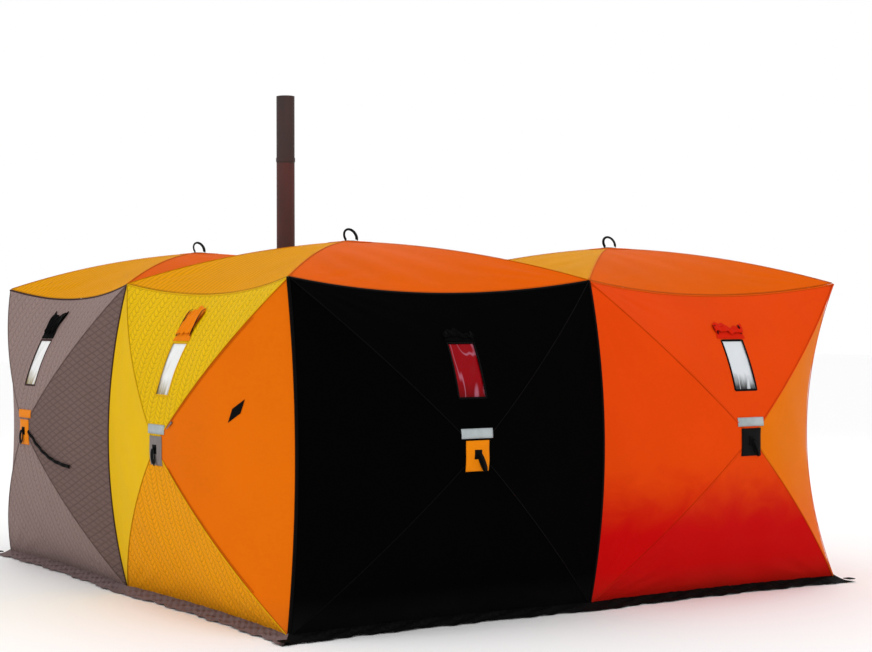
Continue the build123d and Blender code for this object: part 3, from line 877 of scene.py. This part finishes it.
def window_cover(side):
    """Cover folded up on itself above the window, with a tie over it at each side."""
    seed = side.seed
    tall = {"yellow": 0.175, "grey": 0.155, "orange": 0.075, "black": 0.045}.get(side.tag, 0.085)
    wide = {"grey": 0.2, "orange": 0.235}.get(side.tag, 0.205)
    low_fold = min(0.05, tall * 0.6)      # the lower fold clears the hinge, so the cover can turn down flat
    waist = 0.3 if side.tag in ("yellow", "grey") else 0.07
    slim = 0.86 * min(1.0, low_fold / 0.05)
    path = fold_path(tall, low_fold)
    nw = 34
    pts, uvs = np.zeros((nw, len(path), 3)), np.zeros((nw, len(path), 2))
    run = 0.0
    for j, (rise, off) in enumerate(path):
        off *= slim
        if j:
            run += math.hypot(rise - path[j - 1][0], off - path[j - 1][1])
        for i in range(nw):
            s = i / (nw - 1)
            a = H + (s - 0.5) * wide * (1 - waist * math.sin(math.pi * min(1.0, rise / tall)) ** 2)
            crump = math.sin(math.pi * min(1, run / 0.05)) if run < 0.025 else 1.0
            wob = 0.006 * math.sin(9 * s * 2.1 + seed) + 0.0035 * math.sin(31 * s + 40 * run + seed)
            puff = 0.0030 * math.sin(23 * s + 9 * seed + 30 * run) + 0.002 * math.sin(61 * s - 50 * run)
            tip = 0.012 * math.sin(2.2 * s * 3.1 + seed) * rise / tall
            b = WIN_HIGH + 0.006 + max(0.0, rise + wob * min(1, rise / 0.04) + tip)
            pts[i, j] = side.on(a, b, max(0.0025, off + crump * puff * min(1, off / 0.012)))
            uvs[i, j] = (a, 1.55 + run)
    flap = grid_mesh("window_cover_" + side.tag, pts, uvs, M[side.flap])
    sub = flap.modifiers.new("s", "SUBSURF")
    sub.levels = sub.render_levels = 1
    apply_modifiers(flap)
    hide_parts("cover_" + side.tag)
    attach(flap, "cover_" + side.tag)
    declare(flap, wide, run)
    for k, way in ((0, -1), (1, 1)):
        line = []
        for t in np.linspace(0, 1, 14):
            a = H + way * (wide / 2 - 0.02) + 0.004 * math.sin(5 * t + seed)
            off = min(0.0265 * slim, 0.006 + 0.14 * tall * t) if 0.03 < t < 0.97 else 0.009
            line.append(side.on(a, WIN_HIGH + 0.040 + (tall - 0.024) * t, off))
        tie = strip("cover_tie_%s_%d" % (side.tag, k), line, side.n, 0.01, M["web"], thick=0.0012)
        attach(tie, "cover_" + side.tag)


for side in WALLS:
    window_film(side)
    window_rim(side)
    window_cover(side)


# ---------------------------------------------------------------- hub patches and pull loops
LOOP_LEAN = {"black": 0.045, "orange": 0.05, "yellow": 0.0, "grey": -0.03}


def wall_patch(side):
    """Patch, reflective strip, tab and hanging pull loop over a wall's hub."""
    body, material = side.hub_body, M[side.patch]
    p = pillow("hub_patch_" + side.tag, side, H - 0.076, HUB_Z - 0.11, H + 0.076, HUB_Z + 0.055, 0.0035,
               material, body)
    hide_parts("pull_" + side.full)
    p = pillow("reflective_strip_" + side.tag, side, H - 0.103, HUB_Z + 0.066, H + 0.103, HUB_Z + 0.119,
               0.0035, material if side.tag == "grey" else M["reflect"], body, wave=0.0)
    p = pillow("hub_tab_" + side.tag, side, H - 0.024, HUB_Z - 0.045, H + 0.024, HUB_Z + 0.006, 0.0065,
               M["web"], body)
    lean = LOOP_LEAN.get(side.tag, 0.02)
    line, normals = [], []
    for t in np.linspace(0, 1, 30):
        g = 2 * math.pi * t
        a = H + lean * (1 - math.cos(g)) / 2 + 0.004 * math.sin(g)
        off = 0.012 + 0.0085 * math.sin(g) + 0.008 * math.sin(math.pi * t)
        line.append(side.on(a, HUB_Z - 0.012 - 0.047 * (1 - math.cos(g)), off))
        normals.append(side.n + 0.25 * side.x * math.sin(g))
    return strip("pull_loop_" + side.tag, line, np.array(normals), 0.022, M["web"], thick=0.0022)


def roof_patch(side):
    """Patch, tab and standing pull loop over a roof's hub."""
    body = side.hub_body
    p = pillow("hub_patch_roof_" + side.tag, side, H - 0.1, H - 0.1, H + 0.1, H + 0.1, 0.0035,
               M["orange_r"], body)
    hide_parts("pull_" + side.full)
    p = pillow("hub_tab_roof_" + side.tag, side, H - 0.05, H - 0.024, H + 0.05, H + 0.024, 0.0065,
               M["web"], body)
    twist = math.radians(-38)
    along = side.x * math.cos(twist) + side.y * math.sin(twist)
    line, normals = [], []
    for t in np.linspace(0, 1, 36):
        g = math.pi * (1.18 - 1.36 * t)
        a = 0.036 * math.cos(g) - 0.012 * math.sin(g)
        d = 0.020 + 0.044 * math.sin(g)
        line.append(Vector(side.world(np.array([H, H, ROOF_RISE + 0.010 + max(d, 0.0)])) + along * a))
        # the webbing is twisted at its ends, so the top of the loop shows its broad side
        outward = along * math.cos(g) + side.n * math.sin(g)
        normals.append(unit(outward * 0.8 + np.cross(along, side.n) * 0.5))
    return strip("pull_loop_roof_" + side.tag, line, np.array(normals), 0.024, M["web"], thick=0.003)


for side in SIDES:
    loop = wall_patch(side) if side.wall else roof_patch(side)
    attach(loop, side.hub_body)


# ---------------------------------------------------------------- small things on the walls
def door_patch(side):
    """Small plain patch on the door, its long side in line with the seam above it."""
    def place(s, t):
        p, q = s - 0.5, t - 0.5
        a, b = H + 0.625 + 0.066 * p + 0.026 * q, 1.185 + 0.052 * p + 0.075 * q
        return side.on(a, b, 0.004), (a, b)
    patch = lay("door_blank_patch", 9, 9, place, M["web"])
    thicken(patch, 0.002, -1.0)
    door_blend(patch, side)


def stowed_strap(side):
    """Strap sewn down at its ends, hanging in a slack line to the right of the hub."""
    line = []
    for t in np.linspace(0, 1, 60):
        a, b = H + 0.08 + 0.52 * t, HUB_Z - 0.02 - 0.20 * t - 0.05 * math.sin(math.pi * t)
        line.append(side.on(a, b, 0.007 + 0.003 * math.sin(40 * t)))
    s = strip("stowed_strap", line, side.n, 0.02, M["web"], thick=0.005, crown=0.004)
    hub_blend(s, side, (side.c[1] + side.c[2]) / 2)


def door_zipper(side, k):
    """Teeth down one slanting edge of the door leaf, just inside it."""
    r = side.ridge(k, np.linspace(0.14, 0.79, 160))
    r[:, 1] += (0.016 if k == 1 else -0.016)
    line = [side.on(p[0], p[1], 0.0022 + 0.0009 * (q % 2)) for q, p in enumerate(r)]
    z = strip("door_zipper_%d" % k, line, side.n, 0.005, M["tape"], thick=0.0022, crown=0.001)
    door_blend(z, side)


def zip_pull(side):
    """Slider body and the tab that hangs from it, along the zipper's run."""
    low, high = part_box("zip_slider")
    spot = side.on(-(low[1] + high[1]) / 2, (low[2] + high[2]) / 2, 0.0)
    run = ZIP_RUN.normalized()
    out = (Vector(side.n) - run * Vector(side.n).dot(run)).normalized()
    across = out.cross(run).normalized()
    bm = bmesh.new()
    body, tab = (0.026, 0.013, 0.006, 0.0, 0.007), (0.036, 0.008, 0.002, -0.028, 0.010)
    for length, width, thick, along, off in (body, tab):
        for v in bmesh.ops.create_cube(bm, size=1.0)["verts"]:
            q = v.co.copy()
            taper = 0.72 if q.x < 0 else 1.0
            v.co = Vector((q.x * length + along, q.y * width * taper, q.z * thick + off))
    bmesh.ops.bevel(bm, geom=bm.edges[:], offset=0.0009, segments=3, affect="EDGES")
    for v in bm.verts:
        q = v.co.copy()
        v.co = spot + run * q.x + across * q.y + out * q.z
    me = bpy.data.meshes.new("zip_pull")
    bm.to_mesh(me)
    bm.free()
    ob = mesh_object("zip_pull", me, M["zinc"], smooth=False)
    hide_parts("zip_slider")
    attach(ob, "zip_slider")


door_patch(DOOR_WALL)
stowed_strap(BY["grey"])
door_zipper(DOOR_WALL, 1)
door_zipper(DOOR_WALL, 2)
zip_pull(DOOR_WALL)


# ---------------------------------------------------------------- snow skirt
SKIRT_GROW = {-PINCH: 0.1, SEAM_BOW: 0.0, INNER_BOW: -0.1}      # how far the hem runs past the wall's ends
TAB_OUT, EYELET_R, TAB_R = 0.068, 0.0085, 0.038


def snow_skirt(side):
    seed = side.seed
    grey = side.tag in ("grey", "yellow", "left_end")
    grow_l, grow_r = SKIRT_GROW[side.m[3][2]], SKIRT_GROW[side.m[1][2]]

    def wave(size, phase):
        return size * (0.5 + 0.5 * math.sin(phase))

    def place(s, t):
        bend = 4 * s * (1 - s)
        calm = min(1.0, min(s, 1 - s) * 14)
        a = -grow_l * t + (W + (grow_l + grow_r) * t) * s
        hem = 0.010 * math.sin(14 * a + seed) * t + 0.006 * math.sin(47 * a + 2 * seed) * t
        d = min(-0.050 * bend * (1 - 0.15 * t) + 0.003 + 0.094 * t + calm * hem, 0.0995)
        gathers = wave(0.010, 29 * a + 9 * t + seed) + wave(0.006, 83 * a - 13 * t) + \
            wave(0.005, 151 * a + 21 * t + seed)
        z = 0.040 * (1 - t) ** 2.2 + 0.0035 + calm * (1 - (2 * t - 1) ** 2) * gathers
        z += calm * t * wave(0.007, 37 * a + seed)
        return side.world(np.array([a, z, d])), (a, 0.25 + 0.1 * t)
    skirt = lay("snow_skirt_" + side.tag, 210, 15, place, M["skirt_g" if grey else "skirt_b"])
    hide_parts("snow_skirt")
    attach(skirt, "shell")
    declare(skirt, W + (grow_l + grow_r) / 2, 0.125)


def anchor_tab(cx, cy):
    """Square webbing tab with an eyelet, out from the corner at (cx, cy)."""
    x = cx + (-1 if cx < 0 else 1) * TAB_OUT
    y = cy + (-1 if cy < 0 else 1) * TAB_OUT
    bm = bmesh.new()
    inner, outer = [], []
    n = 24
    for k in range(n):
        t = 2 * math.pi * k / n
        inner.append(bm.verts.new((x + EYELET_R * math.cos(t), y + EYELET_R * math.sin(t), 0.0245)))
        r = min(0.030 / max(abs(math.cos(t)), abs(math.sin(t))) * 0.98, TAB_R)
        outer.append(bm.verts.new((x + r * math.cos(t), y + r * math.sin(t), 0.0215)))
    for k in range(n):
        bm.faces.new((inner[k], outer[k], outer[(k + 1) % n], inner[(k + 1) % n]))
    me = bpy.data.meshes.new("anchor_tab")
    bm.to_mesh(me)
    bm.free()
    me.uv_layers.new(name="cloth")
    tab = mesh_object("anchor_tab_%d" % (round(cx) * 3 + round(cy) + 20), me, M["web"], smooth=False)
    thicken(tab, 0.004, 0.0)
    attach(tab, "shell")


for side in WALLS:
    snow_skirt(side)
for corner in ((-W, -W), (W, -W), (-W, W), (W, 0), (0, W)):
    anchor_tab(*corner)


# ---------------------------------------------------------------- stove jack
def stove_jack(side):
    """Square collar on the roof with a round hole, a gathered boot up round the pipe, and its clamp."""
    ca, cb = PIPE[0] + W, PIPE[1] + W
    nr, nb, nq = 14, 12, 48
    pts, uvs = np.zeros((nr, nq + 1, 3)), np.zeros((nr, nq + 1, 2))
    for j in range(nq + 1):
        t = 2 * math.pi * j / nq
        out = min(0.135 / max(abs(math.cos(t)), abs(math.sin(t))), 0.165)
        for i in range(nr):
            r = JACK_R + (out - JACK_R) * i / (nr - 1)
            a, b = ca + r * math.cos(t), cb + r * math.sin(t)
            # the height is taken no nearer than 0.09 m, past the cut cloth's corner
            high = side.on(ca + max(r, 0.09) * math.cos(t), cb + max(r, 0.09) * math.sin(t), 0.004)
            pts[i, j] = (*side.pt(a, b)[:2], high[2])
            uvs[i, j] = (a, b)
    collar = grid_mesh("stove_jack_cloth", pts, uvs, M["jack"])
    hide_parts("stove_jack")
    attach(collar, "shell")
    declare(collar, 0.27, 0.27)

    top = max(p[2] for p in pts[0])
    boot_pts, boot_uvs = np.zeros((nb, nq + 1, 3)), np.zeros((nb, nq + 1, 2))
    for j in range(nq + 1):
        t = 2 * math.pi * j / nq
        foot = pts[0, j][2]
        for i in range(nb):
            s = i / (nb - 1)
            r = JACK_R + (PIPE_R + 0.0035 - JACK_R) * min(1, s * 1.3) + \
                0.002 * math.sin(12 * t) * (1 - abs(2 * s - 1))
            z = foot + (top + 0.05 - foot) * s
            boot_pts[i, j] = (PIPE[0] + r * math.cos(t), PIPE[1] + r * math.sin(t), z)
            boot_uvs[i, j] = (t * 0.07, s * 0.1)
    boot = grid_mesh("stove_jack_boot", boot_pts, boot_uvs, M["jack"], flip=True)
    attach(boot, "shell")
    declare(boot, 0.5, 0.12)

    t = np.linspace(0, 2 * math.pi, nq + 1)
    outward = np.stack([np.cos(t), np.sin(t), np.zeros(nq + 1)], 1)
    line = np.array([PIPE[0], PIPE[1], top + 0.04]) + outward * (PIPE_R + 0.005)
    clamp = strip("jack_clamp_band", line, outward, 0.012, M["zinc"], thick=0.0012)
    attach(clamp, "shell")


stove_jack(JACK_ROOF)

# ---------------------------------------------------------------- finishes of the CAD nodes that stay
FINISH = {"pipe_lower": "pipe", "pipe_upper": "pipe_t", "door_zip_tape": "tape"}
for name, ob in frame["nodes"].items():
    key = "hub" if name.startswith(("hub_", "corner_")) else FINISH.get(name)
    if key:
        ob.data.materials.clear()
        ob.data.materials.append(M[key])

# ---------------------------------------------------------------- stage, light, camera
FLOOR = 60.0
EYE = Vector((-6.479, -9.834, 1.657))
YAW, TILT, ROLL = 1.0267, -0.0020, -0.0021
scene = bpy.context.scene
scene.view_settings.view_transform = "Standard"
me = bpy.data.meshes.new("floor")
square = ((-1, -1), (1, -1), (1, 1), (-1, 1))
me.from_pydata([(x * FLOOR, y * FLOOR, -0.001) for x, y in square], [], [(0, 1, 2, 3)])
material, nt, bsdf = new_material("floor")
bsdf.inputs["Base Color"].default_value = (0.97, 0.97, 0.97, 1)
bsdf.inputs["Roughness"].default_value = 0.9
mesh_object("floor", me, material, smooth=False)
world = bpy.data.worlds.new("studio")
scene.world = world
world.use_nodes = True
background = world.node_tree.nodes["Background"]
background.inputs[0].default_value = (1, 1, 1, 1)
background.inputs[1].default_value = 1.0


def lamp(name, at, to, power, size):
    light = bpy.data.lights.new(name, "AREA")
    light.energy, light.size = power, size
    ob = bpy.data.objects.new(name, light)
    ob.location = at
    ob.rotation_euler = (Vector(to) - Vector(at)).to_track_quat("-Z", "Y").to_euler()
    scene.collection.objects.link(ob)


lamp("key", (-3.0, -11.0, 8.0), (0, -1, 0.8), 170, 4.0)
lamp("fill", (-11.0, -1.0, 6.0), (-1, 0, 0.8), 90, 4.0)
lamp("back", (7.0, 8.0, 8.0), (0, 0, 1), 120, 5.0)

lens = bpy.data.cameras.new("camera")
lens.sensor_width, lens.lens, lens.shift_x, lens.clip_end = 36.0, 71.82, 0.12, 200
camera = bpy.data.objects.new("camera", lens)
scene.collection.objects.link(camera)
scene.camera = camera
ahead = Vector((math.cos(YAW) * math.cos(TILT), math.sin(YAW) * math.cos(TILT), math.sin(TILT)))
level = Vector((math.sin(YAW), -math.cos(YAW), 0.0))
up = level.cross(ahead)
right = level * math.cos(ROLL) + up * math.sin(ROLL)
top = up * math.cos(ROLL) - level * math.sin(ROLL)
camera.matrix_world = Matrix((right, top, -ahead)).transposed().to_4x4()
camera.matrix_world.translation = EYE
